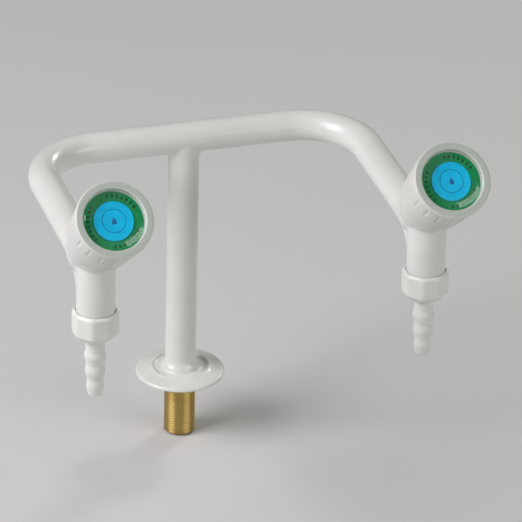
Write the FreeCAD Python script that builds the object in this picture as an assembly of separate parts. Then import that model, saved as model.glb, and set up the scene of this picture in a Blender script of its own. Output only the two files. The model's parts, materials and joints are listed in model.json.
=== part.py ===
"""Two-way bench tap for a laboratory: one riser, a bridge tube and two angled screw-down valves.

Millimetres, +Z up. The origin is the centre of the flange's underside, which rests on the bench.
The bridge runs along X, both arms run forward along -Y, and the knobs lean forward and up.
"""
import FreeCAD, Part
import os
from math import cos, pi, sin
from FreeCAD import Placement, Rotation, Vector

# Riser, bridge and arms
TUBE_R = 10.35
TUBE_WALL = 1.5
AXIS_HEIGHT = 176.1
ARM_X = {"left": -104.5, "right": 113.0}
BEND_R = 43.0

# Bench fixing
SHANK_R = 10.4775
SHANK_BORE_R = 7.5
SHANK_DROP = 44.4
SHANK_CHAMFER = 1.0
SPIGOT_R = 9.8
SPIGOT_TOP = 5.0
FLANGE_R = 30.0
FLANGE_LIP = 2.7
FLANGE_TOP = 15.0
SEAL_INNER_R = 13.5
SEAL_OUTER_R = 20.0
SEAL_THICK = 1.2

# Valve body: an elbow that widens from the arm to the outlet, with a bowl for the headwork
ARM_END_Y = -126.0
INLET_SPIGOT = 8.0
INLET_BORE_R = 6.5
ELBOW_R = 24.0
OUTLET_Y = -166.5
OUTLET_R = 12.5
OUTLET_BORE_R = 7.0
OUTLET_BORE_TOP_Z = 184.1
OUTLET_TOP_Z = 183.1
OUTLET_END_Z = 138.1
OUTLET_THREAD_R = 11.4
OUTLET_THREAD_TOP_Z = 148.6

# Headwork axis: it crosses the arm's axis at CROSS_Y and rises forward at HEAD_PITCH
CROSS_Y = -144.6
HEAD_PITCH = 42.0
CHAMBER_R = 12.0
CHAMBER_FLOOR = 13.0
BOSS_R = 20.2
BOSS_FACE = 42.5
BOWL_BOTTOM = -6.0
BOWL_ARCS = (((12.5, 3.0), (16.0, 18.0)), ((18.4, 30.0), (BOSS_R, BOSS_FACE)))
SEAT_R = 8.6
SEAT_HOLE_R = 6.0
SEAT_BOTTOM = 10.0
SEAT_TOP = 16.0

# Headwork, in distances along its axis from the crossing point
BONNET_BOTTOM = 24.0
BONNET_TOP = 59.8
BONNET_HEX = 27.0
GASKET_THICK = 1.4
GASKET_R = 15.0
COLLAR_HEX_THICK = 5.0
CHAMBER_HEX = 17.6
SPINDLE_R = 5.0
SPINDLE_BOTTOM = 28.0
COLLAR_R = 7.4
COLLAR_BOTTOM = 40.0
COLLAR_TOP = 42.5
STEM_TOP = 62.0
SPINDLE_TOP = 69.5
SQUARE = 6.4
O_RING_PLACES = (49.0, 54.0)
O_RING_WIRE_R = 0.75
O_RING_GROOVE_R = 3.53
THREAD_R = 4.6
JUMPER_TOP = 34.0
JUMPER_WEB = (19.0, 23.0)
WASHER_R = 7.8

# Knob, measured back from its front plane
KNOB_FRONT = 88.0
KNOB_R = 24.7
KNOB_BACK_R = 21.5
KNOB_LENGTH = 44.5
KNOB_WALL = 2.2
RIM_LENGTH = 5.0
GRIP_LENGTH = 16.5
GRIP_INSET = 0.6
LENS_R = 19.6
FLUTE_COUNT = 18
FLUTE_PHASE = 3.7
FLUTE_R = 1.2
FLUTE_DEPTH = 0.8
PLATE_DEPTH = 6.0
PLATE_THICK = 1.5
POCKET_DEPTH = 14.0
WEB_BACK_DEPTH = 18.0
BLUE_R = 12.5
BLUE_THICK = 0.8
HUB_R = 9.0
KNOB_SCREW_HEAD_R = 3.6

# Union nut and hose nozzle on the outlet
NUT_TOP_Z = 148.1
NUT_SIDE_Z = 136.2
NUT_BOTTOM_Z = 127.2
NUT_CORNER_R = 15.2
NUT_FLATS = 28.9
NUT_SIDES = 8
NUT_MOUTH = 3.0
NOZZLE_BORE_R = 3.4
NOZZLE_FLANGE_Z = (134.1, 136.7)
NOZZLE_FLANGE_R = 10.8
NOZZLE_COLLAR_R = 6.3
NOZZLE_TIP_Z = 89.0

# Barbs as (radius, height): each crest is followed by the neck below it
BARB_TOP_Z = 123.0
BARBS = (((7.05, 117.6), (6.0, 111.0)), ((6.4, 105.6), (5.35, 98.8)), ((5.65, 94.8), (4.9, 90.4)))

CLEAR = 0.05
RUNNING = 0.08
UP = Vector(0, 0, 1)
ORIGIN = Vector(0, 0, 0)


def turned(*steps):
    """A solid of revolution about Z. A step is a point (r, z), or an arc as (middle, end)."""
    edges = []
    here = Vector(steps[0][0], 0, steps[0][1])
    for step in steps[1:] + (steps[0],):
        if isinstance(step[0], tuple):
            middle, end = (Vector(r, 0, z) for r, z in step)
            edges.append(Part.Arc(here, middle, end).toShape())
        else:
            end = Vector(step[0], 0, step[1])
            edges.append(Part.makeLine(here, end))
        here = end
    return Part.Face(Part.Wire(edges)).revolve(ORIGIN, UP, 360)


def ring(inner, outer, bottom, top):
    return turned((inner, bottom), (outer, bottom), (outer, top), (inner, top))


def rod(radius, bottom, top):
    return Part.makeCylinder(radius, top - bottom, Vector(0, 0, bottom))


def prism(sides, across_flats, bottom, top):
    """A regular prism about Z, with a flat facing +Y."""
    corner = across_flats / 2 / cos(pi / sides)
    angles = [pi / 2 + (2 * i + 1) * pi / sides for i in range(sides + 1)]
    outline = Part.makePolygon([Vector(corner * cos(a), corner * sin(a), bottom) for a in angles])
    return Part.Face(outline).extrude(Vector(0, 0, top - bottom))


def headwork_place(x):
    """Turns local +Z into the headwork axis and moves the origin to where it crosses the arm."""
    return Placement(Vector(x, CROSS_Y, AXIS_HEIGHT), Rotation(Vector(1, 0, 0), 90 - HEAD_PITCH))


def export(node, shape):
    shape.exportStep(f"parts/{node}.step")


def bridge_path():
    """The centreline: left arm, bend, bridge, bend, right arm."""
    left, right = ARM_X["left"], ARM_X["right"]
    z = AXIS_HEIGHT
    slant = BEND_R * (1 - cos(pi / 4))
    left_start, right_end = Vector(left, ARM_END_Y, z), Vector(right, ARM_END_Y, z)
    left_bend = Vector(left, -BEND_R, z), Vector(left + slant, -slant, z), Vector(left + BEND_R, 0, z)
    right_bend = Vector(right - BEND_R, 0, z), Vector(right - slant, -slant, z), Vector(right, -BEND_R, z)
    return Part.Wire([
        Part.makeLine(left_start, left_bend[0]),
        Part.Arc(*left_bend).toShape(),
        Part.makeLine(left_bend[2], right_bend[0]),
        Part.Arc(*right_bend).toShape(),
        Part.makeLine(right_bend[2], right_end),
    ])


def piped(path, radius, start, direction):
    circle = Part.Wire([Part.makeCircle(radius, start, direction)])
    return path.makePipeShell([circle], True, False)


def bridge_tube():
    path = bridge_path()
    start, forward = Vector(ARM_X["left"], ARM_END_Y, AXIS_HEIGHT), Vector(0, 1, 0)
    bore_r = TUBE_R - TUBE_WALL
    tube = piped(path, TUBE_R, start, forward).cut(piped(path, bore_r, start, forward))
    return tube.cut(rod(bore_r - 0.5, AXIS_HEIGHT - TUBE_R - 1, AXIS_HEIGHT))


def riser_tube():
    """Stands on the shank inside the flange; its top is coped to fit under the bridge."""
    tube = ring(TUBE_R - TUBE_WALL, TUBE_R, SPIGOT_TOP, AXIS_HEIGHT)
    reach = 2 * TUBE_R
    cope = Part.makeCylinder(TUBE_R + CLEAR / 2, 2 * reach, Vector(-reach, 0, AXIS_HEIGHT), Vector(1, 0, 0))
    return tube.cut(cope)


def bench_flange():
    """Thin lip, a shallow groove inside a low ridge, and a foot that rises round the riser."""
    lip_r = FLANGE_LIP / 2
    spigot_hole, riser_hole = SPIGOT_R + CLEAR, TUBE_R + CLEAR
    profile = turned(
        (spigot_hole, 0), (FLANGE_R - lip_r, 0),
        ((FLANGE_R, lip_r), (FLANGE_R - lip_r, FLANGE_LIP)),
        (20.8, 4.6),
        ((19.4, 5.1), (18.2, 4.7)),
        ((16.2, 3.9), (14.4, 4.8)),
        (13.4, 6.9),
        ((12.7, 8.3), (11.8, 9.5)),
        ((10.95, 12.0), (riser_hole + 0.2, FLANGE_TOP)),
        (riser_hole, FLANGE_TOP), (riser_hole, SPIGOT_TOP), (spigot_hole, SPIGOT_TOP),
    )
    return profile.cut(ring(SEAL_INNER_R, SEAL_OUTER_R, -1, SEAL_THICK))


def threaded_shank():
    """G 1/2 stem at its major diameter, with a narrower plain spigot pressed up into the flange."""
    chamfer_r = SHANK_R - SHANK_CHAMFER
    chamfer_z = SHANK_CHAMFER - SHANK_DROP
    return turned(
        (SHANK_BORE_R, -SHANK_DROP), (chamfer_r, -SHANK_DROP), (SHANK_R, chamfer_z),
        (SHANK_R, 0), (SPIGOT_R, 0), (SPIGOT_R, SPIGOT_TOP), (SHANK_BORE_R, SPIGOT_TOP),
    )


def along_arm(radius, x, start_y, end_y):
    """A rod on the arm's axis, from start_y forward to end_y."""
    return Part.makeCylinder(radius, start_y - end_y, Vector(x, start_y, AXIS_HEIGHT), Vector(0, -1, 0))


def valve_elbow(x):
    """Runs on from the arm at the tube's own radius and widens as it turns down to the outlet."""
    slant = ELBOW_R * (1 - cos(pi / 4))
    inlet = Vector(x, ARM_END_Y, AXIS_HEIGHT)
    bend_start = Vector(x, OUTLET_Y + ELBOW_R, AXIS_HEIGHT)
    bend_middle = Vector(x, OUTLET_Y + slant, AXIS_HEIGHT - slant)
    bend_end = Vector(x, OUTLET_Y, AXIS_HEIGHT - ELBOW_R)
    bend = Part.Arc(bend_start, bend_middle, bend_end).toShape()
    path = Part.Wire([Part.makeLine(inlet, bend_start), bend])
    ends = ((TUBE_R, inlet, Vector(0, -1, 0)), (OUTLET_R - 0.2, bend_end, Vector(0, 0, -1)))
    circles = [Part.Wire([Part.makeCircle(*end)]) for end in ends]
    return path.makePipeShell(circles, True, False)


def valve_body(x):
    """Casting: inlet spigot, elbow, straight outlet and the bowl that carries the headwork."""
    spigot = along_arm(TUBE_R - TUBE_WALL - CLEAR, x, ARM_END_Y + INLET_SPIGOT, ARM_END_Y - 1)
    outlet = turned(
        (0, OUTLET_END_Z), (OUTLET_THREAD_R, OUTLET_END_Z), (OUTLET_THREAD_R, OUTLET_THREAD_TOP_Z - 3),
        (OUTLET_R, OUTLET_THREAD_TOP_Z - 2), (OUTLET_R, OUTLET_TOP_Z), (0, OUTLET_TOP_Z),
    ).translated(Vector(x, OUTLET_Y, 0))
    bowl = turned((0, BOWL_BOTTOM), *BOWL_ARCS, (0, BOSS_FACE))
    chamber = rod(CHAMBER_R, CHAMBER_FLOOR, BOSS_FACE + 1)
    seat_pocket = rod(SEAT_R + CLEAR, SEAT_BOTTOM, CHAMBER_FLOOR + 1)
    seat_port = rod(SEAT_HOLE_R, 0, SEAT_BOTTOM + 1)
    for piece in (bowl, chamber, seat_pocket, seat_port):
        piece.Placement = headwork_place(x).multiply(piece.Placement)
    inlet = along_arm(INLET_BORE_R, x, ARM_END_Y + INLET_SPIGOT + 1, CROSS_Y - 4)
    drop = rod(OUTLET_BORE_R, OUTLET_END_Z - 1, OUTLET_BORE_TOP_Z).translated(Vector(x, OUTLET_Y, 0))
    body = valve_elbow(x).fuse([spigot, outlet, bowl])
    return body.cut([chamber, seat_pocket, seat_port, inlet, drop])


def valve_seat():
    return turned(
        (SEAT_HOLE_R, SEAT_BOTTOM), (SEAT_R, SEAT_BOTTOM), (SEAT_R, CHAMBER_FLOOR + 0.5),
        (SEAT_HOLE_R + 1.6, SEAT_TOP), (SEAT_HOLE_R, SEAT_TOP),
    )


def bonnet_gasket():
    return ring(CHAMBER_R + CLEAR, GASKET_R, BOSS_FACE, BOSS_FACE + GASKET_THICK)


def headwork_bonnet():
    """Brass plug in the boss: hexagon guide below, thrust shoulder, stem bore and a hexagon collar."""
    seat_face = BOSS_FACE + GASKET_THICK
    plug = rod(CHAMBER_R - CLEAR, BONNET_BOTTOM, seat_face)
    collar_top = seat_face + COLLAR_HEX_THICK
    collar = prism(6, BONNET_HEX, seat_face, collar_top)
    neck = turned(
        (0, collar_top), (9.5, collar_top), (8.5, BONNET_TOP - 1), (7.5, BONNET_TOP), (0, BONNET_TOP),
    )
    guide = prism(6, CHAMBER_HEX, BONNET_BOTTOM - 1, COLLAR_BOTTOM)
    thrust_pocket = rod(COLLAR_R + RUNNING, COLLAR_BOTTOM - 1, COLLAR_TOP + RUNNING)
    stem_bore = rod(SPINDLE_R + RUNNING, COLLAR_TOP, BONNET_TOP + 1)
    return plug.fuse([collar, neck]).removeSplitter().cut([guide, thrust_pocket, stem_bore])


def spindle():
    """Lower thread, thrust collar, grooved stem and a square end with a tapped hole."""
    stem = turned(
        (0, SPINDLE_BOTTOM), (THREAD_R, SPINDLE_BOTTOM), (THREAD_R, COLLAR_BOTTOM),
        (COLLAR_R, COLLAR_BOTTOM), (COLLAR_R, COLLAR_TOP), (SPINDLE_R, COLLAR_TOP),
        (SPINDLE_R, STEM_TOP), (0, STEM_TOP),
    )
    grooves = [ring(O_RING_GROOVE_R, SPINDLE_R + 1, z - 0.95, z + 0.95) for z in O_RING_PLACES]
    clip_groove = ring(SPINDLE_R - 0.8, SPINDLE_R + 1, BONNET_TOP + 0.1, BONNET_TOP + 1.1)
    square = prism(4, SQUARE, STEM_TOP - 1, SPINDLE_TOP)
    tapped = rod(2.0, STEM_TOP - 2, SPINDLE_TOP + 1)
    return stem.fuse(square).cut(grooves + [clip_groove, tapped])


def spindle_o_rings():
    centre_r = (O_RING_GROOVE_R + SPINDLE_R + RUNNING) / 2
    wire_r = O_RING_WIRE_R - CLEAR / 2
    return Part.makeCompound([Part.makeTorus(centre_r, wire_r, Vector(0, 0, z)) for z in O_RING_PLACES])


def spindle_circlip():
    clip = ring(SPINDLE_R - 0.75, 7.0, BONNET_TOP + 0.15, BONNET_TOP + 1.05)
    gap = Part.makeBox(4, 8, 3, Vector(-2, 0, BONNET_TOP))
    return clip.cut(gap)


def jumper():
    """Hexagonal carrier that slides in the bonnet without turning, threaded on the spindle."""
    hexagon = prism(6, CHAMBER_HEX - 2 * RUNNING, BONNET_BOTTOM + 0.5, JUMPER_TOP)
    neck = rod(WASHER_R + 0.7, JUMPER_WEB[0] - 1.5, BONNET_BOTTOM + 0.5)
    cup = rod(WASHER_R + CLEAR, JUMPER_WEB[0] - 2, JUMPER_WEB[0])
    threaded = rod(THREAD_R + CLEAR, JUMPER_WEB[1], JUMPER_TOP + 1)
    screw_hole = rod(1.75, JUMPER_WEB[0] - 1, JUMPER_WEB[1] - 0.5)
    return hexagon.fuse(neck).cut([cup, threaded, screw_hole])


def seat_washer():
    return ring(1.8, WASHER_R, SEAT_TOP + 0.02, JUMPER_WEB[0])


def washer_screw():
    head_top = SEAT_TOP + 0.02
    head = turned(
        (0, head_top - 1.8), (2.6, head_top - 1.8), (3.2, head_top - 1.2), (3.2, head_top), (0, head_top),
    )
    slot = Part.makeBox(8, 0.8, 1, Vector(-4, -0.4, head_top - 2))
    return head.fuse(rod(1.7, head_top, JUMPER_WEB[1] - 0.8)).cut(slot)


def knob():
    """Hollow handle: flared front rim, fluted grip, tapering skirt, web and square-socket hub."""
    front, back = KNOB_FRONT, KNOB_FRONT - KNOB_LENGTH
    rim_back, grip_back = front - RIM_LENGTH, front - GRIP_LENGTH
    pocket_floor, web_back = front - POCKET_DEPTH, front - WEB_BACK_DEPTH
    plate_back = front - PLATE_DEPTH - PLATE_THICK
    hub_bottom = STEM_TOP + 0.5
    shell = turned(
        (0, hub_bottom), (HUB_R, hub_bottom), (HUB_R, web_back - 1),
        ((HUB_R + 0.3, web_back - 0.3), (HUB_R + 1, web_back)),
        (KNOB_R - 5.5, web_back),
        ((KNOB_R - 4.2, web_back - 0.6), (KNOB_R - 3.7, web_back - 2)),
        (KNOB_BACK_R - KNOB_WALL, back), (KNOB_BACK_R - 0.6, back),
        ((KNOB_BACK_R - 0.1, back + 0.2), (KNOB_BACK_R, back + 0.8)),
        (KNOB_R - 0.9, grip_back),
        ((KNOB_R - GRIP_INSET, grip_back + 4), (KNOB_R - GRIP_INSET + 0.05, rim_back - 0.6)),
        ((KNOB_R - 0.25, rim_back - 0.1), (KNOB_R, rim_back + 0.6)),
        (KNOB_R, front - 1.4),
        ((KNOB_R - 0.4, front - 0.4), (KNOB_R - 1.4, front)),
        (LENS_R + 1.0, front),
        ((LENS_R + 0.4, front - 0.3), (LENS_R + 0.1, front - 1.0)),
        (LENS_R + 0.1, plate_back), (LENS_R - 2.5, plate_back),
        (LENS_R - 2.5, pocket_floor), (0, pocket_floor),
    )
    socket = prism(4, SQUARE + 2 * CLEAR, hub_bottom - 1, SPINDLE_TOP + 0.3)
    screw_hole = rod(2.2, SPINDLE_TOP, pocket_floor + 1)
    return shell.cut([socket, screw_hole] + flutes(grip_back, rim_back - FLUTE_R))


def flutes(low, high):
    """Short round-ended grooves spaced evenly round the grip."""
    centre_r = KNOB_R - GRIP_INSET - FLUTE_DEPTH + FLUTE_R
    groove = rod(FLUTE_R, low, high).fuse([
        Part.makeSphere(FLUTE_R, Vector(0, 0, low)), Part.makeSphere(FLUTE_R, Vector(0, 0, high))])
    groove.translate(Vector(centre_r, 0, 0))
    pitch = 360 / FLUTE_COUNT
    return [groove.rotated(ORIGIN, UP, FLUTE_PHASE + pitch * i) for i in range(FLUTE_COUNT)]


def knob_screw():
    floor = KNOB_FRONT - POCKET_DEPTH
    head_r, head_top = KNOB_SCREW_HEAD_R, floor + 2.5
    head = turned(
        (0, floor), (head_r, floor), (head_r, head_top - 0.7), (head_r - 0.6, head_top), (0, head_top),
    )
    slot = Part.makeBox(9, 1.0, 2, Vector(-4.5, -0.5, floor + 1.5))
    return head.fuse(rod(1.95, SPINDLE_TOP - 8, floor)).cut(slot)


def index_plate():
    """Green plate on the knob's inner shoulder."""
    top = KNOB_FRONT - PLATE_DEPTH
    return rod(LENS_R, top - PLATE_THICK, top)


def media_disc():
    """Blue disc on the plate, with a rounded edge."""
    bottom = KNOB_FRONT - PLATE_DEPTH
    top = bottom + BLUE_THICK
    return turned(
        (0, bottom), (BLUE_R, bottom), (BLUE_R, top - 0.3),
        ((BLUE_R - 0.1, top - 0.1), (BLUE_R - 0.3, top)), (0, top),
    )


def clear_cap():
    """Transparent lens with a skirt that stands on the green plate."""
    foot, top = KNOB_FRONT - PLATE_DEPTH, KNOB_FRONT + 0.6
    return turned(
        (0, top - 2.6), (LENS_R - 3.6, top - 2.6),
        ((LENS_R - 2.4, top - 3.2), (LENS_R - 1.8, top - 4.4)),
        (LENS_R - 1.6, foot), (LENS_R, foot), (LENS_R, top - 2.0),
        ((LENS_R - 0.4, top - 1.0), (LENS_R - 1.6, top - 0.3)),
        ((LENS_R - 2.6, top), (LENS_R - 4, top)),
        (0, top),
    )


def union_nut():
    """Eight-sided coupling nut with a bowl-shaped underside, loose round the outlet."""
    side, bottom, top = NUT_SIDE_Z, NUT_BOTTOM_Z, NUT_TOP_Z
    envelope = turned(
        (0, bottom), (6.9, bottom), (7.3, bottom + 1.6),
        ((12.4, bottom + 5.0), (NUT_CORNER_R, side)),
        (NUT_CORNER_R, top - 1.6), ((NUT_CORNER_R - 0.4, top - 0.5), (NUT_CORNER_R - 1.5, top)), (0, top),
    )
    sides = prism(NUT_SIDES, NUT_FLATS, bottom - 1, top + 1)
    mouth = rod(OUTLET_R + 0.7, top - NUT_MOUTH, top + 1)
    thread = rod(OUTLET_THREAD_R + CLEAR, NOZZLE_FLANGE_Z[0], top)
    hole = rod(NOZZLE_COLLAR_R + CLEAR, bottom - 1, top)
    return envelope.common(sides).cut([mouth, thread, hole])


def nozzle_washer():
    return ring(OUTLET_BORE_R, NOZZLE_FLANGE_R, NOZZLE_FLANGE_Z[1], OUTLET_END_Z)


def hose_nozzle():
    """Clamping flange, collar and three rounded barbs that shrink towards the tip."""
    flange_low, flange_high = NOZZLE_FLANGE_Z
    return turned(
        (NOZZLE_BORE_R, flange_high), (NOZZLE_FLANGE_R, flange_high), (NOZZLE_FLANGE_R, flange_low),
        (NOZZLE_COLLAR_R, flange_low), (NOZZLE_COLLAR_R, BARB_TOP_Z), *BARBS,
        ((4.5, NOZZLE_TIP_Z + 0.4), (3.9, NOZZLE_TIP_Z)), (NOZZLE_BORE_R, NOZZLE_TIP_Z),
    )


HEAD_PIECES = {
    "valve_seat": valve_seat, "bonnet_gasket": bonnet_gasket, "headwork_bonnet": headwork_bonnet,
    "spindle": spindle, "spindle_o_rings": spindle_o_rings, "spindle_circlip": spindle_circlip,
    "jumper": jumper, "seat_washer": seat_washer, "washer_screw": washer_screw,
    "knob": knob, "knob_screw": knob_screw, "index_plate": index_plate,
    "media_disc": media_disc, "clear_cap": clear_cap,
}
OUTLET_PIECES = {"union_nut": union_nut, "nozzle_washer": nozzle_washer, "hose_nozzle": hose_nozzle}

os.makedirs("parts", exist_ok=True)
export("bench_flange", bench_flange())
export("flange_seal", ring(SEAL_INNER_R + CLEAR, SEAL_OUTER_R - CLEAR, 0, SEAL_THICK))
export("threaded_shank", threaded_shank())
export("riser_tube", riser_tube())
export("bridge_tube", bridge_tube())

for side, x in ARM_X.items():
    export(f"{side}_valve_body", valve_body(x))
    for name, build in HEAD_PIECES.items():
        piece = build()
        piece.Placement = headwork_place(x).multiply(piece.Placement)
        export(f"{side}_{name}", piece)
    for name, build in OUTLET_PIECES.items():
        export(f"{side}_{name}", build().translated(Vector(x, OUTLET_Y, 0)))
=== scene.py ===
"""The looks of a two-way laboratory bench tap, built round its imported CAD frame. Metres, +Z up."""

import json
from math import cos, pi, radians, sin, tan

import bmesh
import bpy
import numpy as np
from mathutils import Matrix, Vector


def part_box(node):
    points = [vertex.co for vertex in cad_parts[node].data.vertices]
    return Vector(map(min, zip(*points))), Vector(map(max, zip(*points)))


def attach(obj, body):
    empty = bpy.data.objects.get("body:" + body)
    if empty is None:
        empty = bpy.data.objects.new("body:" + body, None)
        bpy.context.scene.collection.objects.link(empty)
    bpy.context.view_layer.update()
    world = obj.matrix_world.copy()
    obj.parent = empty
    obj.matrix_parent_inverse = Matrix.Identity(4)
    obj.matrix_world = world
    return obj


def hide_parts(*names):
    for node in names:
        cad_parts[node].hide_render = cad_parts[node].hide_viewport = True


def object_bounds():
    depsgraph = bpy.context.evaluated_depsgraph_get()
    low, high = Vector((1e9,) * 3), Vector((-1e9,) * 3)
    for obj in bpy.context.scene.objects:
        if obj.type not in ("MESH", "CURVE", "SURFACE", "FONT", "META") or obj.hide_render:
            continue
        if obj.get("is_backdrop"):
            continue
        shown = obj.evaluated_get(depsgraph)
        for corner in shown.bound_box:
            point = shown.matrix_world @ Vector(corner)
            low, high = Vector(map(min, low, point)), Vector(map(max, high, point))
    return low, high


MM = 0.001
SIDES = ("left", "right")

# The camera: a long lens in front of the tap, a little to its left and above it
VIEW_AZIMUTH = -16.6
VIEW_ELEVATION = 28.2
VIEW_ROLL = 1.1
VIEW_TARGET = Vector((0, -0.050, 0.1011))
VIEW_DISTANCE = 3.277
VIEW_LENS = 344.8
VIEW_SHIFT = (0.1106, 0.0223)

# The studio, in metres
LAMP_DISTANCE = 2.2
FLOOR_SIZE = 12
AMBIENT = 0.11
AMBIENT_COLOUR = (0.93, 1.0, 0.93, 1)

# From here on, details that the frame's solids leave plain, in millimetres and degrees.
# Foot plate: rounded lip, low ridge, groove, and the shoulder of the foot
LIP_HEIGHT = 2.3
RIDGE_R = 19.3
RIDGE_HEIGHT = 5.6
GROOVE_HEIGHT = 3.7
SHOULDER_R = 12.2
SHOULDER_HEIGHT = 7.5
FOOT_HEIGHT = 10.6

# Tubes and castings. SEAM_COVER is how far an arm runs into its casting, and TEE_SINK how far the riser
# runs into the bridge.
BRIDGE_BEND = 43.0
TUBE_WALL = 1.5
SEAM_COVER = 5.0
TEE_FILLET = 5.0
TEE_SINK = 1.0
RISER_BORE_SHARE = 0.85
CASTING_VOXEL = 0.55
CASTING_SMOOTHING = 24

# Brass stem: bore, spigot inside the flange, thread, the plain neck above it and the chamfered end
STEM_BORE = 7.5
SPIGOT_R = 9.8
THREAD_PITCH = 1.814
THREAD_DEPTH = 0.2
THREAD_RUNOUT = 2.0
NECK_LENGTH = 3.5
END_CHAMFER = 1.0

# Knob: its flutes, lengths back from its front face, how far the skirt draws in, and its hub
FLUTE_COUNT = 18
FLUTE_PHASE = 3.7
FLUTE_HALF_WIDTH = 1.0
FLUTE_DEPTH = 0.5
RIM_LENGTH = 5.0
RECESS_DEPTH = 7.5
GRIP_LENGTH = 16.5
WEB_DEPTH = 18.0
SKIRT_TAPER = 3.2
HUB_R = 9.0

# Printed discs: the ink's edge, the ring of dashes, the thin circle and the drop. Each pair in DASHES is
# a count to the turn and its inked share: first the single dashes, then the groups that they stand in.
GREEN_PRINT_R = 18.3
DASH_RING_R = 15.4
DASH_HALF_LENGTH = 1.0
DASHES = ((32, 0.5), (3, 0.68))
CIRCLE_R = 7.5
CIRCLE_HALF_WIDTH = 0.24
DROP_HALF_WIDTH = 2.4
DROP_HALF_LENGTH = 2.3

# Lens: how high its underside is over the discs, and the width of the foot round them
LENS_FLOOR = 0.95
LENS_FOOT = 0.8

# Coupling nut: FLAT_SHARE is how near a flat comes to the axis, against its corners
NUT_SIDES = 8
FLAT_SHARE = 0.962
EDGE_SHARPNESS = 90.0
NUT_BOWL = 7.4
NUT_BOWL_R = 12.3
NUT_MOUTH_R = 12.85
NUT_MOUTH_RISE = 2.2
NUT_THREAD_R = 11.5
NUT_HOLE_R = 6.35

# Hose nozzle. Each barb is its crest's radius and height above the tip, then its neck's.
NOZZLE_BORE = 3.4
NOZZLE_FLANGE = 2.6
COLLAR_R = 6.3
COLLAR_HEIGHT = 31.6
CREST_HALF_WIDTH = 0.8
BARBS = ((7.1, 28.4, 5.85, 21.8), (6.45, 17.3, 5.25, 11.0), (5.75, 6.4, 4.8, 0.8))

# Colours
POWDER = (0.70, 0.71, 0.67, 1)
KNOB_GREY = (0.66, 0.67, 0.63, 1)
# Painted shade for the knob's front face, which looks along the knob's axis
FACE_SHADE_GREY = (0.46, 0.50, 0.45, 1)
NUT_GREY = (0.73, 0.74, 0.70, 1)
BRASS = (0.60, 0.43, 0.14, 1)
# Brass stains, and painted shade in the brass's corners, such as under the flange
BRASS_DARK = (0.27, 0.17, 0.07, 1)
STEEL = (0.56, 0.56, 0.55, 1)
GREEN = (0.003, 0.28, 0.09, 1)
GREEN_DARK = (0.001, 0.06, 0.02, 1)
BLUE = (0.0, 0.54, 0.94, 1)
BLUE_DARK = (0.0, 0.14, 0.38, 1)

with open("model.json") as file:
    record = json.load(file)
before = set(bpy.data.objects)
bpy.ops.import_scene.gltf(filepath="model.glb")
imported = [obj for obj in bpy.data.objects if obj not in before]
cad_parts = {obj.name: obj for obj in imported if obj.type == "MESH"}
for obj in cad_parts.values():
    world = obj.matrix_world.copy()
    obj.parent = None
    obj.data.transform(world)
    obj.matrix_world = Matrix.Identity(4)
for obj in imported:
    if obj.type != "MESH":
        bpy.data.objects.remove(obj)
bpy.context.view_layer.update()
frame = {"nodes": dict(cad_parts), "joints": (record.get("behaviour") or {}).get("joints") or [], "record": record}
record = frame["record"]
joints = {joint["name"]: joint for joint in frame["joints"]}


# ---------------------------------------------------------------- places, read from the frame

def head_place(side):
    """Local +Z is the headwork's axis, and the origin is where it crosses the arm."""
    joint = joints[f"{side}_handle_turn"]
    axis = Vector(joint["axis"]).normalized()
    across = Vector((1, 0, 0))
    turn = Matrix((across, axis.cross(across), axis)).transposed().to_4x4()
    return Matrix.Translation(joint["pos_m"]) @ turn


def outlet_place(side):
    """Local +Z runs up the outlet's axis, and heights stay those of the frame."""
    low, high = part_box(f"{side}_hose_nozzle")
    return Matrix.Translation(((low.x + high.x) / 2, (low.y + high.y) / 2, 0))


def span(node, place=Matrix.Identity(4)):
    """A node's greatest radius and its ends along local Z, in millimetres."""
    local = place.inverted()
    points = np.array([local @ v.co for v in frame["nodes"][node].data.vertices]) / MM
    return np.hypot(points[:, 0], points[:, 1]).max(), points[:, 2].min(), points[:, 2].max()


# ---------------------------------------------------------------- meshes

def rounded(corner_shade, steps=6):
    """An outline of (x, y, fillet) corners in millimetres, with each fillet as an arc of points."""
    points = []
    for i, (x, y, fillet) in enumerate(corner_shade):
        here = np.array([x, y], float)
        before = np.array(corner_shade[i - 1][:2], float) - here
        after = np.array(corner_shade[(i + 1) % len(corner_shade)][:2], float) - here
        before_length, after_length = np.linalg.norm(before), np.linalg.norm(after)
        if fillet == 0 or before_length == 0 or after_length == 0:
            points.append(here)
            continue
        before, after = before / before_length, after / after_length
        angle = np.arccos(np.clip(before @ after, -1, 1))
        reach = fillet / tan(angle / 2)
        start, end = here + before * reach, here + after * reach
        bisector = (before + after) / np.linalg.norm(before + after)
        centre = here + bisector * fillet / sin(angle / 2)
        a, b = start - centre, end - centre
        sweep = np.arccos(np.clip(a @ b / fillet ** 2, -1, 1))
        for k in range(steps + 1):
            t = k / steps
            points.append(centre + (a * sin((1 - t) * sweep) + b * sin(t * sweep)) / sin(sweep))
    return np.array(points)


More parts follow.
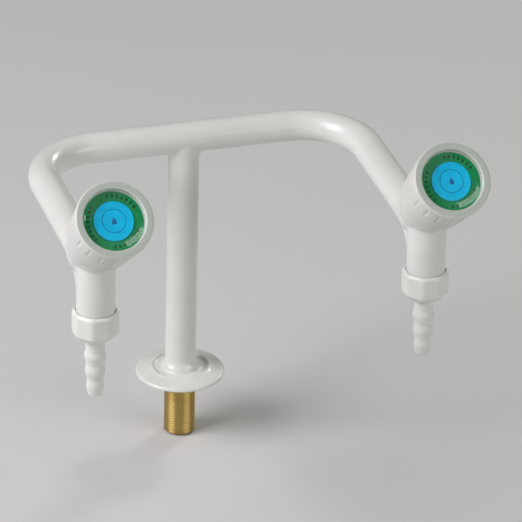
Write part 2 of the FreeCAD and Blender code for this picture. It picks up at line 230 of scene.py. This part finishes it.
def skin(name, rings, place=Matrix.Identity(4), closed=True):
    """A mesh over rings of points in millimetres. A closed skin joins its last ring to its first."""
    rings = np.asarray(rings, float)
    count, around = rings.shape[:2]
    index = np.arange(count * around).reshape(count, around)
    last = count if closed else count - 1
    faces = []
    for i in range(last):
        lower, upper = index[i], index[(i + 1) % count]
        faces += np.stack([lower, np.roll(lower, -1), np.roll(upper, -1), upper], 1).tolist()
    mesh = bpy.data.meshes.new(name)
    mesh.from_pydata((rings.reshape(-1, 3) * MM).tolist(), [], faces)
    shell = bmesh.new()
    shell.from_mesh(mesh)
    bmesh.ops.remove_doubles(shell, verts=shell.verts, dist=1e-6)
    bmesh.ops.dissolve_degenerate(shell, edges=shell.edges, dist=1e-7)
    bmesh.ops.recalc_face_normals(shell, faces=shell.faces)
    shell.transform(place)
    shell.to_mesh(mesh)
    shell.free()
    mesh.shade_smooth()
    piece = bpy.data.objects.new(name, mesh)
    bpy.context.scene.collection.objects.link(piece)
    piece.modifiers.new("normals", "WEIGHTED_NORMAL").keep_sharp = True
    return piece


def lathe(name, outline, place=Matrix.Identity(4), around=128, shape=None):
    """Turns a closed (radius, height) outline about local Z. shape() may vary the radius with the angle."""
    angles = np.linspace(0, 2 * pi, around, endpoint=False)
    radius = np.repeat(outline[:, :1], around, 1)
    height = np.repeat(outline[:, 1:], around, 1)
    if shape is not None:
        radius = shape(radius, height, angles)
    return skin(name, np.stack([radius * np.cos(angles), radius * np.sin(angles), height], 2), place)


def subdivided(outline, longest):
    """The same outline with points added so that no stretch is longer than this, in millimetres."""
    points = []
    for a, b in zip(outline, np.roll(outline, -1, 0)):
        pieces = max(1, int(np.ceil(np.linalg.norm(b - a) / longest)))
        points += [a + (b - a) * k / pieces for k in range(pieces)]
    return np.array(points)


def finish_piece(piece, body, slot, material, *nodes):
    """Gives a piece its material and body, and hides the CAD nodes that it stands for. The slot is not used."""
    piece.data.materials.clear()
    piece.data.materials.append(material)
    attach(piece, body)
    if nodes:
        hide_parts(*nodes)


# ---------------------------------------------------------------- materials

class Nodes:
    """A material's node tree, built a node at a time."""

    def __init__(self, name):
        self.material = bpy.data.materials.new(name)
        self.material.use_nodes = True
        self.tree = self.material.node_tree
        self.shader = self.tree.nodes["Principled BSDF"]
        self.output = self.tree.nodes["Material Output"]
        self.place = self.add("ShaderNodeTexCoord").outputs["Object"]

    def add(self, kind, **settings):
        node = self.tree.nodes.new(kind)
        for name, value in settings.items():
            setattr(node, name, value)
        return node

    def feed(self, socket, value):
        if isinstance(value, bpy.types.NodeSocket):
            self.tree.links.new(value, socket)
        else:
            socket.default_value = value

    def noise(self, scale, detail=3.0, roughness=0.5):
        node = self.add("ShaderNodeTexNoise")
        self.feed(node.inputs["Vector"], self.place)
        self.feed(node.inputs["Scale"], scale)
        self.feed(node.inputs["Detail"], detail)
        self.feed(node.inputs["Roughness"], roughness)
        return node.outputs["Fac"]

    def ramp(self, value, low, high, low_out=0.0, high_out=1.0):
        node = self.add("ShaderNodeMapRange")
        for name, number in zip(("Value", "From Min", "From Max", "To Min", "To Max"),
                                (value, low, high, low_out, high_out)):
            self.feed(node.inputs[name], number)
        return node.outputs["Result"]

    def maths(self, operation, *values):
        node = self.add("ShaderNodeMath", operation=operation)
        for socket, value in zip(node.inputs, values):
            self.feed(socket, value)
        return node.outputs[0]

    def mix(self, share, first, second):
        node = self.add("ShaderNodeMix", data_type="RGBA")
        self.feed(node.inputs["Factor"], share)
        self.feed(node.inputs["A"], first)
        self.feed(node.inputs["B"], second)
        return node.outputs["Result"]

    def bump(self, height, distance):
        node = self.add("ShaderNodeBump")
        self.feed(node.inputs["Height"], height)
        self.feed(node.inputs["Distance"], distance)
        self.feed(self.shader.inputs["Normal"], node.outputs["Normal"])

    def set(self, **inputs):
        for name, value in inputs.items():
            self.feed(self.shader.inputs[name.replace("_", " ")], value)


def grey(value, warm=0.0):
    return (value * (1 + warm), value, value * (1 - warm), 1)


def tinted(colour, factor):
    return (*(channel * factor for channel in colour[:3]), 1)


def powder_coat(colour):
    """Epoxy powder coat: soft gloss, a fine orange-peel skin and faint mottling."""
    n = Nodes("powder_coat")
    mottle = n.ramp(n.noise(45, 4), 0.3, 0.7)
    n.set(Base_Color=n.mix(mottle, tinted(colour, 0.975), tinted(colour, 1.02)))
    n.set(Roughness=n.ramp(n.noise(160, 2), 0.3, 0.7, 0.30, 0.38))
    n.set(Coat_Weight=0.3, Coat_Roughness=0.14)
    peel = n.maths("ADD", n.noise(700, 1.5, 0.4), n.maths("MULTIPLY", n.noise(2600, 1), 0.12))
    n.bump(peel, 0.02 * MM)
    return n.material


def moulded(name, colour, rough, grain, scatter, face=None):
    """Moulded plastic: a fine satin grain, faint flow marks and a little light inside it.

    A surface that looks along the direction face gets painted shade: its colour is mixed towards a darker grey.
    """
    n = Nodes(name)
    flow = n.ramp(n.noise(70, 3, 0.55), 0.35, 0.65)
    base = n.mix(flow, tinted(colour, 0.96), tinted(colour, 1.02))
    if face is not None:
        # Painted shade: surfaces that look along the given direction are mixed towards a darker grey
        towards = n.add("ShaderNodeVectorMath", operation="DOT_PRODUCT")
        n.feed(towards.inputs[0], n.add("ShaderNodeNewGeometry").outputs["Normal"])
        n.feed(towards.inputs[1], face)
        base = n.mix(n.ramp(towards.outputs["Value"], 0.80, 0.97), base, FACE_SHADE_GREY)
    n.set(Base_Color=base)
    n.set(Roughness=n.ramp(n.noise(420, 3), 0.3, 0.7, rough - 0.05, rough + 0.06))
    n.set(Subsurface_Weight=scatter, Subsurface_Radius=(1.2 * MM, 1.2 * MM, 1.1 * MM))
    n.bump(n.noise(grain, 3, 0.6), 0.02 * MM)
    return n.material


def machined(name, colour, rough, ring_scale, stain_and_shade_colour):
    """Turned metal: tool rings that stretch its highlights, soft stains, and painted shade that darkens its
    corners and crevices.
    """
    n = Nodes(name)
    rings = n.add("ShaderNodeTexWave", wave_type="BANDS", bands_direction="Z")
    n.feed(rings.inputs["Vector"], n.place)
    n.feed(rings.inputs["Scale"], ring_scale)
    n.feed(rings.inputs["Distortion"], 1.5)
    stain = n.ramp(n.noise(90, 5, 0.55), 0.45, 0.75)
    # Painted shade: ambient occlusion darkens corners and crevices, such as the stem's top under the flange
    open_air = n.add("ShaderNodeAmbientOcclusion")
    n.feed(open_air.inputs["Distance"], 6 * MM)
    corner_shade = n.ramp(open_air.outputs["AO"], 0.95, 0.5, 0.0, 0.8)
    base = n.mix(n.maths("MAXIMUM", n.maths("MULTIPLY", stain, 0.3), corner_shade), colour, stain_and_shade_colour)
    n.set(Base_Color=base, Metallic=1.0, Roughness=n.ramp(stain, 0, 1, rough, rough + 0.06))
    around = n.add("ShaderNodeTangent", direction_type="RADIAL", axis="Z")
    n.set(Anisotropic=0.85, Anisotropic_Rotation=0.25, Tangent=around.outputs["Tangent"])
    n.bump(n.maths("ADD", rings.outputs["Fac"], n.noise(1500, 3)), 0.006 * MM)
    return n.material


def rubbery(name, colour):
    """Dull, fine-grained stuff: the rubber rings and washers, and the fibre gaskets."""
    n = Nodes(name)
    n.set(Base_Color=n.mix(n.noise(300, 4), tinted(colour, 0.8), tinted(colour, 1.3)))
    n.set(Roughness=n.ramp(n.noise(500, 3), 0.3, 0.7, 0.55, 0.75))
    n.bump(n.noise(2500, 4), 0.02 * MM)
    return n.material


def printed_disc(name, place, colour, dark, print_radius, line_radius, line_half_width, marks):
    """A printed disc: mottled ink inside a bare edge, and a dark ring that marks may break into dashes."""
    n = Nodes(name)
    local = n.add("ShaderNodeMapping", vector_type="POINT")
    inverse = place.inverted()
    n.feed(local.inputs["Vector"], n.place)
    n.feed(local.inputs["Location"], inverse.translation)
    n.feed(local.inputs["Rotation"], inverse.to_euler())
    axes = n.add("ShaderNodeSeparateXYZ")
    n.feed(axes.inputs[0], local.outputs[0])
    x, y = axes.outputs["X"], axes.outputs["Y"]
    radius = n.maths("SQRT", n.maths("ADD", n.maths("MULTIPLY", x, x), n.maths("MULTIPLY", y, y)))
    away = n.maths("ABSOLUTE", n.maths("SUBTRACT", radius, line_radius * MM))
    line = n.ramp(away, line_half_width * MM * 0.7, line_half_width * MM * 1.3, 1.0, 0.0)
    for count, share in marks:
        turn = n.maths("MULTIPLY", n.maths("ARCTAN2", y, x), count / (2 * pi))
        step = n.maths("ABSOLUTE", n.maths("SUBTRACT", n.maths("FRACT", turn), 0.5))
        line = n.maths("MULTIPLY", line, n.ramp(step, share / 2 - 0.03, share / 2 + 0.03, 1.0, 0.0))
    mottle = n.ramp(n.noise(260, 5, 0.6), 0.35, 0.7)
    plain = n.mix(mottle, tinted(colour, 0.9), tinted(colour, 1.08))
    ink = n.mix(n.maths("MULTIPLY", line, 0.95), plain, dark)
    bare = n.ramp(radius, (print_radius - 0.15) * MM, (print_radius + 0.15) * MM)
    n.set(Base_Color=n.mix(bare, ink, KNOB_GREY))
    n.set(Roughness=n.ramp(n.noise(500, 2), 0.3, 0.7, 0.4, 0.5), Specular_IOR_Level=0.15)
    n.bump(n.noise(1800, 2), 0.005 * MM)
    return n.material


def clear_acrylic():
    """Clear plastic with a faint haze. Lamps shine through it on to the discs."""
    n = Nodes("clear_plastic")
    n.set(Base_Color=(0.97, 0.99, 0.98, 1), IOR=1.45, Transmission_Weight=1.0, Specular_IOR_Level=0.3)
    n.set(Roughness=n.ramp(n.noise(60, 2, 0.5), 0.3, 0.7, 0.06, 0.09))
    through = n.add("ShaderNodeBsdfTransparent")
    n.feed(through.inputs["Color"], (0.95, 0.98, 0.96, 1))
    rays = n.add("ShaderNodeLightPath")
    passing = n.maths("MAXIMUM", rays.outputs["Is Shadow Ray"], rays.outputs["Is Diffuse Ray"])
    mixed = n.add("ShaderNodeMixShader")
    n.feed(mixed.inputs[0], passing)
    n.feed(mixed.inputs[1], n.shader.outputs[0])
    n.feed(mixed.inputs[2], through.outputs[0])
    n.feed(n.output.inputs["Surface"], mixed.outputs[0])
    return n.material


materials = {
    "powder_coat": powder_coat(POWDER),
    "knob_plastic": moulded("knob_plastic", KNOB_GREY, 0.40, 1400, 0.05, head_place("left").col[2].xyz),
    "nut_plastic": moulded("nut_plastic", NUT_GREY, 0.34, 1100, 0.10),
    "brass": machined("brass", BRASS, 0.40, 900, BRASS_DARK),
    "stainless": machined("stainless", STEEL, 0.26, 1100, tinted(STEEL, 0.5)),
    "rubber_black": rubbery("rubber_black", (0.025, 0.025, 0.025)),
    "fibre": rubbery("fibre", (0.20, 0.06, 0.03)),
    "clear_plastic": clear_acrylic(),
}


# ---------------------------------------------------------------- pieces on the stand

def flange_plate():
    """Foot plate: thin rounded lip, low ridge, hollow groove, and a foot that flows up the riser."""
    plate_r, _, top = span("bench_flange")
    riser_r = span("riser_tube")[0] - 0.01
    outline = rounded([
        (riser_r, 0.05, 0), (plate_r, 0, 0.6), (plate_r, LIP_HEIGHT, 2.0),
        (RIDGE_R + 1.6, RIDGE_HEIGHT - 1.0, 2.5), (RIDGE_R, RIDGE_HEIGHT, 1.2),
        (RIDGE_R - 1.9, GROOVE_HEIGHT, 1.8), (SHOULDER_R + 1.2, GROOVE_HEIGHT + 0.9, 2.0),
        (SHOULDER_R, SHOULDER_HEIGHT, 3.0), (riser_r, FOOT_HEIGHT, 8.0), (riser_r, top, 0),
    ], 10)
    return lathe("flange_plate", outline, around=192)


def tube_rings(path, radius, around=96):
    """Rings of a tube along a path that stays in a level plane, in millimetres."""
    path = np.array(path, float)
    ahead = np.gradient(path, axis=0)
    ahead /= np.linalg.norm(ahead, axis=1)[:, None]
    level = np.stack([-ahead[:, 1], ahead[:, 0], np.zeros(len(path))], 1)
    angles = np.linspace(0, 2 * pi, around, endpoint=False)
    spread = level[:, None] * np.cos(angles)[:, None] + np.array([0, 0, 1]) * np.sin(angles)[:, None]
    return path[:, None] + radius * spread


def bridge_pipe():
    """Cross tube, two bends and two arms, which run a little way into the castings to hide the seams."""
    low, high = (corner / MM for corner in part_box("bridge_tube"))
    tube_r = (high.z - low.z) / 2
    left, right, end = low.x + tube_r, high.x - tube_r, low.y - SEAM_COVER
    back, z = high.y - tube_r, low.z + tube_r
    across = BRIDGE_BEND * (1 - np.cos(np.linspace(0, pi / 2, 40)))
    along = BRIDGE_BEND * (1 - np.sin(np.linspace(0, pi / 2, 40)))
    arm = np.linspace(end, back - BRIDGE_BEND, 16)[:-1]
    path = [(left, y, z) for y in arm]
    path += [(left + x, back - y, z) for x, y in zip(across, along)]
    path += [(x, back, z) for x in np.linspace(left + BRIDGE_BEND, right - BRIDGE_BEND, 40)[1:-1]]
    path += [(right - x, back - y, z) for x, y in zip(across[::-1], along[::-1])]
    path += [(right, y, z) for y in arm[::-1]]
    outer, inner = tube_rings(path, tube_r), tube_rings(path, tube_r - TUBE_WALL)
    return skin("bridge_pipe", np.concatenate([outer, inner[::-1]]))


def riser_pipe():
    """Upright tube whose top spreads into a smooth brazed tee under the bridge."""
    radius, foot, _ = span("riser_tube")
    low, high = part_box("bridge_tube")
    axis_z, bridge_r = (low.z + high.z) / 2 / MM, (high.z - low.z) / 2 / MM
    angles = np.linspace(0, 2 * pi, 144, endpoint=False)
    x, y = radius * np.cos(angles), radius * np.sin(angles)
    saddle = axis_z - np.sqrt(np.maximum(bridge_r ** 2 - y ** 2, 0))
    reach = TEE_FILLET * np.abs(np.cos(angles)) ** 0.7 + 0.02
    rings = [np.stack([x, y, foot + (saddle - reach - foot) * share], 1)
             for share in np.linspace(0, 1, 24)]
    for t in np.linspace(0, 1, 14)[1:]:
        out = np.sign(x) * reach * t ** 2
        rings.append(np.stack([x + out, y, saddle - reach * (1 - t) ** 2], 1))
    sunk = rings[-1].copy()
    sunk[:, 2] += TEE_SINK
    narrow = (RISER_BORE_SHARE, RISER_BORE_SHARE, 1)
    inner = [np.stack([x, y, z], 1) * narrow for z in (sunk[:, 2], np.full(len(x), foot))]
    return skin("riser_pipe", rings + [sunk] + inner)


def bench_stem():
    """Brass stem: a shallow worn thread between a plain neck and a chamfered end, round a clear bore."""
    radius, bottom, top = span("threaded_shank")
    angles = np.linspace(0, 2 * pi, 112, endpoint=False)
    z, a = np.meshgrid(np.arange(bottom, -0.05, THREAD_PITCH / 12), angles, indexing="ij")
    groove = 0.5 - 0.5 * np.cos(2 * pi * z / THREAD_PITCH - a)
    fade_in = np.clip((-NECK_LENGTH - z) / THREAD_RUNOUT, 0, 1)
    fade_out = np.clip((z - bottom) / END_CHAMFER - 1.5, 0, 1)
    thread = radius - THREAD_DEPTH * groove * fade_in * fade_out
    wall = np.minimum(thread, radius - END_CHAMFER + (z - bottom))
    outer = np.stack([wall * np.cos(a), wall * np.sin(a), z], 2)
    closing = ((radius, 0.0), (SPIGOT_R, 0.0), (SPIGOT_R, top), (STEM_BORE, top),
               (STEM_BORE, bottom + 0.5), (STEM_BORE + 0.5, bottom))
    rings = [np.stack([r * np.cos(angles), r * np.sin(angles), np.full(len(angles), h)], 1)
             for r, h in closing]
    return skin("bench_stem", np.concatenate([outer, rings]))


def casting(side):
    """The valve body with its junctions blended as a casting's are: voxels over the solid, then smoothed."""
    source = frame["nodes"][f"{side}_valve_body"]
    piece = bpy.data.objects.new(f"{side}_casting", source.data.copy())
    bpy.context.scene.collection.objects.link(piece)
    voxels = piece.modifiers.new("voxels", "REMESH")
    voxels.mode = "VOXEL"
    voxels.voxel_size = CASTING_VOXEL * MM
    voxels.use_smooth_shade = True
    soften = piece.modifiers.new("soften", "SMOOTH")
    soften.factor = 0.5
    soften.iterations = CASTING_SMOOTHING
    bpy.context.view_layer.update()
    blended = piece.evaluated_get(bpy.context.evaluated_depsgraph_get())
    baked = bpy.data.meshes.new_from_object(blended)
    piece.modifiers.clear()
    piece.data = baked
    piece.data.shade_smooth()
    return piece


# ---------------------------------------------------------------- pieces on each handle

def knob_shell(side):
    """One hollow moulding: a long tapering skirt, a fluted grip, and a proud rim that frames the lens."""
    place = head_place(side)
    rim_r, back, front = span(f"{side}_knob", place)
    recess_r = span(f"{side}_index_plate", place)[0] + 0.15
    rim_back, grip_back = front - RIM_LENGTH, front - GRIP_LENGTH
    floor, web = front - RECESS_DEPTH, front - WEB_DEPTH
    back_r, grip_r = rim_r - SKIRT_TAPER, rim_r - 0.55
    outline = subdivided(rounded([
        (HUB_R, web, 0.5), (rim_r - 4.5, web, 1.5), (back_r - 2.2, back, 0.3),
        (back_r, back, 0.6), (rim_r - 0.9, grip_back, 12.0), (grip_r, rim_back, 0.3),
        (rim_r, rim_back + 0.5, 0.4), (rim_r, front, 1.2), (recess_r, front, 0.7),
        (recess_r, floor, 0.2), (HUB_R, floor, 0.2),
    ]), 0.8)

    def fluted(radius, height, angles):
        pitch = 2 * pi / FLUTE_COUNT
        off = np.abs(((angles - radians(FLUTE_PHASE)) / pitch + 0.5) % 1 - 0.5) * pitch * rim_r
        flute_low, flute_high = grip_back - 0.6, rim_back - FLUTE_HALF_WIDTH
        beyond = np.maximum(flute_low - height, 0) + np.maximum(height - flute_high, 0)
        share = np.clip(1 - (off ** 2 + beyond ** 2) / FLUTE_HALF_WIDTH ** 2, 0, 1)
        return radius - np.where(radius > recess_r + 1.5, FLUTE_DEPTH * np.sqrt(share), 0)

    return lathe(f"{side}_knob_shell", outline, place, around=FLUTE_COUNT * 24, shape=fluted)


def disc(name, node, place, edge):
    """A flat disc with a rounded upper edge, the size of its CAD node."""
    radius, low, high = span(node, place)
    outline = rounded([(0, low, 0), (radius, low, 0), (radius, high, edge), (0, high, 0)], 4)
    return lathe(name, outline, place, around=96)


def drop_mark(side):
    """A small raised water drop in the middle of the blue disc."""
    place = head_place(side)
    top = span(f"{side}_media_disc", place)[2]
    t = np.linspace(0, 2 * pi, 48, endpoint=False)
    outline = np.stack([DROP_HALF_WIDTH * np.sin(t) * np.sin(t / 2) ** 1.5, DROP_HALF_LENGTH * np.cos(t)], 1)
    rings = [np.column_stack([outline * size, np.full(len(t), top + height)])
             for size, height in ((0, 0.0), (1.0, 0.0), (1.0, 0.06), (0.92, 0.12), (0, 0.14))]
    return skin(f"{side}_drop_mark", rings, place, closed=False)


def lens_cap(side):
    """Thick clear lens: flat in the middle and domed towards its edge, on a low foot round the blue disc."""
    place = head_place(side)
    radius, low, high = span(f"{side}_clear_cap", place)
    outline = rounded([
        (0, low + LENS_FLOOR, 0), (radius - LENS_FOOT, low + LENS_FLOOR, 0.2), (radius - LENS_FOOT, low, 0),
        (radius, low, 0), (radius, high - 2.2, 0.6),
        (radius - 1.4, high - 1.5, 3.0), (radius - 5.4, high, 12.0), (0, high, 0),
    ], 12)
    return lathe(f"{side}_lens_cap", outline, place, around=144)


# ---------------------------------------------------------------- pieces on each outlet

def coupling_nut(side):
    """Eight flats between a conical mouth that closes on the outlet and a bowl-shaped underside."""
    place = outlet_place(side)
    corner_r, bottom, top = span(f"{side}_union_nut", place)
    side_z = bottom + NUT_BOWL
    low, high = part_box(f"{side}_union_nut")
    apothem = (high.x - low.x) / 2 / MM
    outline = subdivided(rounded([
        (NUT_HOLE_R, bottom, 0.1), (NUT_HOLE_R + 0.7, bottom, 0.3), (NUT_HOLE_R + 1.05, bottom + 1.3, 0.5),
        (NUT_BOWL_R, bottom + 4.2, 4.0), (corner_r, side_z, 2.5), (corner_r, top - 0.2, 2.4),
        (NUT_MOUTH_R, top + NUT_MOUTH_RISE, 0.5), (NUT_MOUTH_R, top - 1.0, 0.2),
        (NUT_THREAD_R, top - 1.2, 0.2), (NUT_THREAD_R, side_z, 0.2), (NUT_HOLE_R, side_z, 0.2),
    ]), 0.8)

    def faceted(radius, height, angles):
        step = 2 * pi / NUT_SIDES
        away = (angles + step / 2) % step - step / 2
        flat = np.minimum(apothem, radius * FLAT_SHARE) / np.cos(away)
        softened = (flat ** -EDGE_SHARPNESS + radius ** -EDGE_SHARPNESS) ** (-1 / EDGE_SHARPNESS)
        wall = (radius > NUT_MOUTH_R + 0.2) & (height > side_z)
        bowl = (radius > NUT_HOLE_R + 1.5) & (height < side_z)
        return np.where(wall | bowl, softened, radius)

    return lathe(f"{side}_coupling_nut", outline, place, around=NUT_SIDES * 40, shape=faceted)


def barbed_tail(side):
    """Hose nozzle: clamping flange, plain collar, and three rounded barbs that shrink towards the tip."""
    place = outlet_place(side)
    flange_r, tip, top = span(f"{side}_hose_nozzle", place)
    flange_low = top - NOZZLE_FLANGE
    corner_shade = [(NOZZLE_BORE, top, 0), (flange_r, top, 0.2), (flange_r, flange_low, 0.2),
               (COLLAR_R, flange_low, 0.2), (COLLAR_R, tip + COLLAR_HEIGHT, 1.5)]
    for crest_r, crest_z, neck_r, neck_z in BARBS:
        corner_shade += [(crest_r, tip + crest_z + CREST_HALF_WIDTH, 2.5),
                    (crest_r, tip + crest_z - CREST_HALF_WIDTH, 4.0), (neck_r, tip + neck_z, 0.4)]
    corner_shade += [(NOZZLE_BORE + 0.7, tip, 0.4), (NOZZLE_BORE, tip, 0)]
    return lathe(f"{side}_barbed_tail", rounded(corner_shade, 8), place, around=96)


# ---------------------------------------------------------------- build

def build_stand():
    """The pieces that both sides share."""
    coat = materials["powder_coat"]
    finish_piece(flange_plate(), "stand", "powder_coat", coat, "bench_flange")
    finish_piece(bridge_pipe(), "stand", "powder_coat", coat, "bridge_tube")
    finish_piece(riser_pipe(), "stand", "powder_coat", coat, "riser_tube")
    finish_piece(bench_stem(), "stand", "brass", materials["brass"], "threaded_shank")


def build_side(side):
    """One valve: its casting, knob, discs, lens, coupling nut and hose nozzle."""
    handle, place = f"{side}_handle", head_place(side)
    green = printed_disc(f"{side}_green", place, GREEN, GREEN_DARK, GREEN_PRINT_R,
                         DASH_RING_R, DASH_HALF_LENGTH, DASHES)
    blue = printed_disc(f"{side}_blue", place, BLUE, BLUE_DARK, GREEN_PRINT_R,
                        CIRCLE_R, CIRCLE_HALF_WIDTH, ())
    mark = moulded(f"{side}_mark", BLUE_DARK, 0.3, 1500, 0)
    finish_piece(casting(side), "stand", "powder_coat", materials["powder_coat"], f"{side}_valve_body")
    finish_piece(knob_shell(side), handle, "knob_plastic", materials["knob_plastic"], f"{side}_knob")
    finish_piece(disc(f"{side}_green_plate", f"{side}_index_plate", place, 0.2), handle,
                 "index_green", green, f"{side}_index_plate")
    finish_piece(disc(f"{side}_blue_disc", f"{side}_media_disc", place, 0.3), handle,
                 "index_blue", blue, f"{side}_media_disc")
    finish_piece(drop_mark(side), handle, "index_blue", mark)
    finish_piece(lens_cap(side), handle, "clear_plastic", materials["clear_plastic"], f"{side}_clear_cap")
    finish_piece(coupling_nut(side), "stand", "nut_plastic", materials["nut_plastic"], f"{side}_union_nut")
    finish_piece(barbed_tail(side), "stand", "nut_plastic", materials["nut_plastic"], f"{side}_hose_nozzle")


def paint_inner_parts():
    """The parts that stay as CAD solids take the finish that the record names."""
    for entry in record["subparts"]:
        node = frame["nodes"][entry["node"]]
        finish = materials.get(entry["material_slot"])
        if finish is not None:
            node.data.materials.clear()
            node.data.materials.append(finish)


# ---------------------------------------------------------------- studio

def lamp(name, azimuth, elevation, width, height, power, colour):
    """A soft box that faces the tap from this direction."""
    light = bpy.data.lights.new(name, "AREA")
    light.shape = "RECTANGLE"
    light.size, light.size_y, light.energy, light.color = width, height, power, colour
    stand = bpy.data.objects.new(name, light)
    level = cos(radians(elevation))
    towards = Vector((level * cos(radians(azimuth)), level * sin(radians(azimuth)), sin(radians(elevation))))
    stand.location = VIEW_TARGET + towards * LAMP_DISTANCE
    stand.rotation_euler = towards.to_track_quat("Z", "Y").to_euler()
    bpy.context.scene.collection.objects.link(stand)


def studio():
    """Pale floor, a large key lamp on the left, and weaker ones in front, behind and above."""
    world = bpy.data.worlds.new("studio")
    world.use_nodes = True
    world.node_tree.nodes["Background"].inputs["Color"].default_value = AMBIENT_COLOUR
    world.node_tree.nodes["Background"].inputs["Strength"].default_value = AMBIENT
    bpy.context.scene.world = world
    bpy.context.scene.view_settings.view_transform = "Standard"

    low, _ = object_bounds()
    bpy.ops.mesh.primitive_plane_add(size=FLOOR_SIZE, location=(0, 0, low.z - 0.0005))
    floor = bpy.context.object
    floor.name = "floor"
    n = Nodes("floor")
    n.set(Base_Color=n.mix(n.noise(3, 3), grey(0.60, 0.01), grey(0.63, 0.01)), Roughness=0.8)
    floor.data.materials.append(n.material)
    floor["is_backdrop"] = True

    lamp("key", -172, 35, 1.4, 1.4, 50, (0.99, 0.955, 1.0))
    lamp("front_fill", -50, 20, 1.5, 0.6, 14, (1.0, 0.985, 0.98))
    lamp("back", 42, 28, 0.4, 0.4, 10, (0.95, 1.0, 0.95))
    lamp("top", -90, 80, 2.0, 2.0, 5, (1.0, 1.0, 1.0))


def camera():
    """The camera looks at the tap from the chosen side and height, rolled a little about its own axis."""
    azimuth, elevation, roll = radians(VIEW_AZIMUTH), radians(VIEW_ELEVATION), radians(VIEW_ROLL)
    right = Vector((cos(azimuth), sin(azimuth), 0))
    ahead = Vector((-sin(azimuth) * cos(elevation), cos(azimuth) * cos(elevation), -sin(elevation)))
    up = right.cross(ahead)
    rolled_right = right * cos(roll) + up * sin(roll)
    rolled_up = up * cos(roll) - right * sin(roll)
    lens = bpy.data.cameras.new("view")
    lens.lens, lens.sensor_width = VIEW_LENS, 36
    lens.shift_x, lens.shift_y = VIEW_SHIFT
    lens.clip_end = 50
    view = bpy.data.objects.new("view", lens)
    turn = Matrix((rolled_right, rolled_up, -ahead)).transposed().to_4x4()
    view.matrix_world = Matrix.Translation(VIEW_TARGET - ahead * VIEW_DISTANCE) @ turn
    bpy.context.scene.collection.objects.link(view)
    bpy.context.scene.camera = view


build_stand()
for side in SIDES:
    build_side(side)
paint_inner_parts()
studio()
camera()
